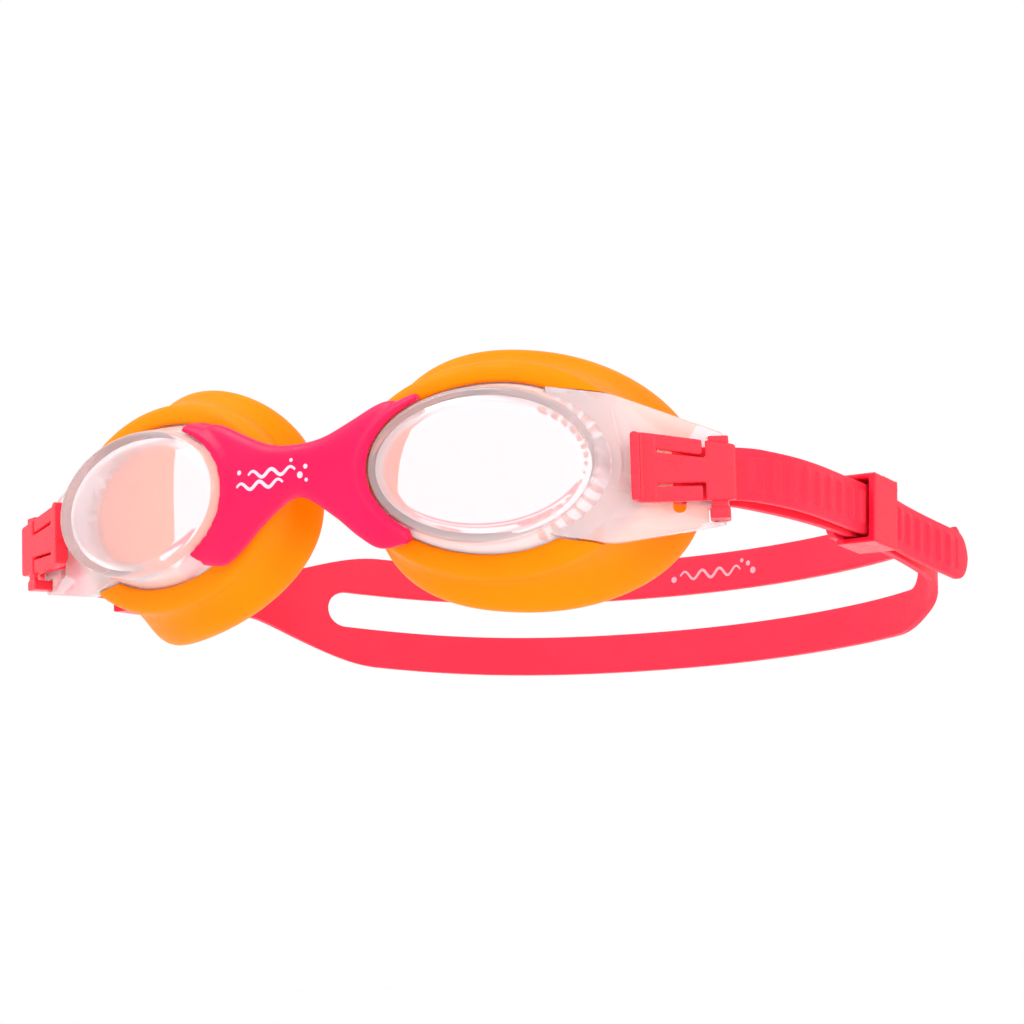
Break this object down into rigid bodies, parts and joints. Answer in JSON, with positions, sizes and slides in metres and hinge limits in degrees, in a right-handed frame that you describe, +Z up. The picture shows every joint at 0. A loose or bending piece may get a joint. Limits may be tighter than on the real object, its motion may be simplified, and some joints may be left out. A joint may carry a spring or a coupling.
{
  "type": "swim goggles",
  "caption": "Children's swim goggles: clear oval eye pieces with side arms, soft face gaskets, flexible nose bridge, hinged strap clips, sliding keepers and a split head strap.",
  "frame": {"origin": "centre of the overall box in X and Y, on the plane under the gaskets and the lower strap band", "axes": "+X from one eye piece to the other, +Y back from the lenses to the rear of the strap, +Z up; names ending in _right are on +X"},
  "size_m": [0.1576, 0.1314, 0.0428],
  "materials": {
    "lens": "clear polished",
    "gasket": "satin",
    "bridge": "satin",
    "clip": "gloss",
    "strap": "satin"
  },
  "bodies": {
    "left_eye": {"lens_left": "lens", "gasket_left": "gasket", "nose_bridge": "bridge", "strap_side_left": "strap", "strap_tail_left": "strap", "strap_upper_band_left": "strap", "strap_lower_band_left": "strap"},
    "right_eye": {"lens_right": "lens", "gasket_right": "gasket", "strap_side_right": "strap", "strap_tail_right": "strap", "strap_upper_band_right": "strap", "strap_lower_band_right": "strap"},
    "clip_right": {"clip_right": "clip"},
    "tab_upper_right": {"latch_tab_upper_right": "clip"},
    "tab_lower_right": {"latch_tab_lower_right": "clip"},
    "keeper_right": {"keeper_right": "clip"},
    "clip_left": {"clip_left": "clip"},
    "tab_upper_left": {"latch_tab_upper_left": "clip"},
    "tab_lower_left": {"latch_tab_lower_left": "clip"},
    "keeper_left": {"keeper_left": "clip"}
  },
  "joints": [
    {"name": "bridge_flex", "type": "hinge", "parent": "left_eye", "child": "right_eye", "pos_m": [0, -0.06316, 0.02251], "axis": [0, 0, 1], "range_deg": [-12, 15], "stiffness_Nm_per_rad": 0.05, "deforming": ["nose_bridge", "strap_side_right", "strap_tail_right", "strap_upper_band_right", "strap_lower_band_right", "strap_side_left", "strap_tail_left", "strap_upper_band_left", "strap_lower_band_left"]},
    {"name": "clip_lift_right", "type": "hinge", "parent": "right_eye", "child": "clip_right", "pos_m": [0.06671, -0.0435, 0.02251], "axis": [0, 0, 1], "range_deg": [0, 60]},
    {"name": "clip_lift_left", "type": "hinge", "parent": "left_eye", "child": "clip_left", "pos_m": [-0.06671, -0.0435, 0.02251], "axis": [0, 0, -1], "range_deg": [0, 60]},
    {"name": "tab_upper_press_right", "type": "hinge", "parent": "clip_right", "child": "tab_upper_right", "pos_m": [0.0599, -0.05072, 0.0244], "axis": [0.4431, -0.8965, 0], "range_deg": [-5, 0], "stiffness_Nm_per_rad": 0.02},
    {"name": "tab_lower_press_right", "type": "hinge", "parent": "clip_right", "child": "tab_lower_right", "pos_m": [0.0599, -0.05072, 0.0159], "axis": [0.4431, -0.8965, 0], "range_deg": [0, 5], "stiffness_Nm_per_rad": 0.02},
    {"name": "tab_upper_press_left", "type": "hinge", "parent": "clip_left", "child": "tab_upper_left", "pos_m": [-0.0599, -0.05072, 0.0244], "axis": [-0.4431, -0.8965, 0], "range_deg": [0, 5], "stiffness_Nm_per_rad": 0.02},
    {"name": "tab_lower_press_left", "type": "hinge", "parent": "clip_left", "child": "tab_lower_left", "pos_m": [-0.0599, -0.05072, 0.0159], "axis": [-0.4431, -0.8965, 0], "range_deg": [-5, 0], "stiffness_Nm_per_rad": 0.02},
    {"name": "keeper_slide_right", "type": "slide", "parent": "right_eye", "child": "keeper_right", "axis": [0.033, 0.9946, -0.0983], "range_m": [-0.006, 0.006]},
    {"name": "keeper_slide_left", "type": "slide", "parent": "left_eye", "child": "keeper_left", "axis": [-0.0331, 0.9994, -0.0041], "range_m": [-0.006, 0.006]}
  ]
}
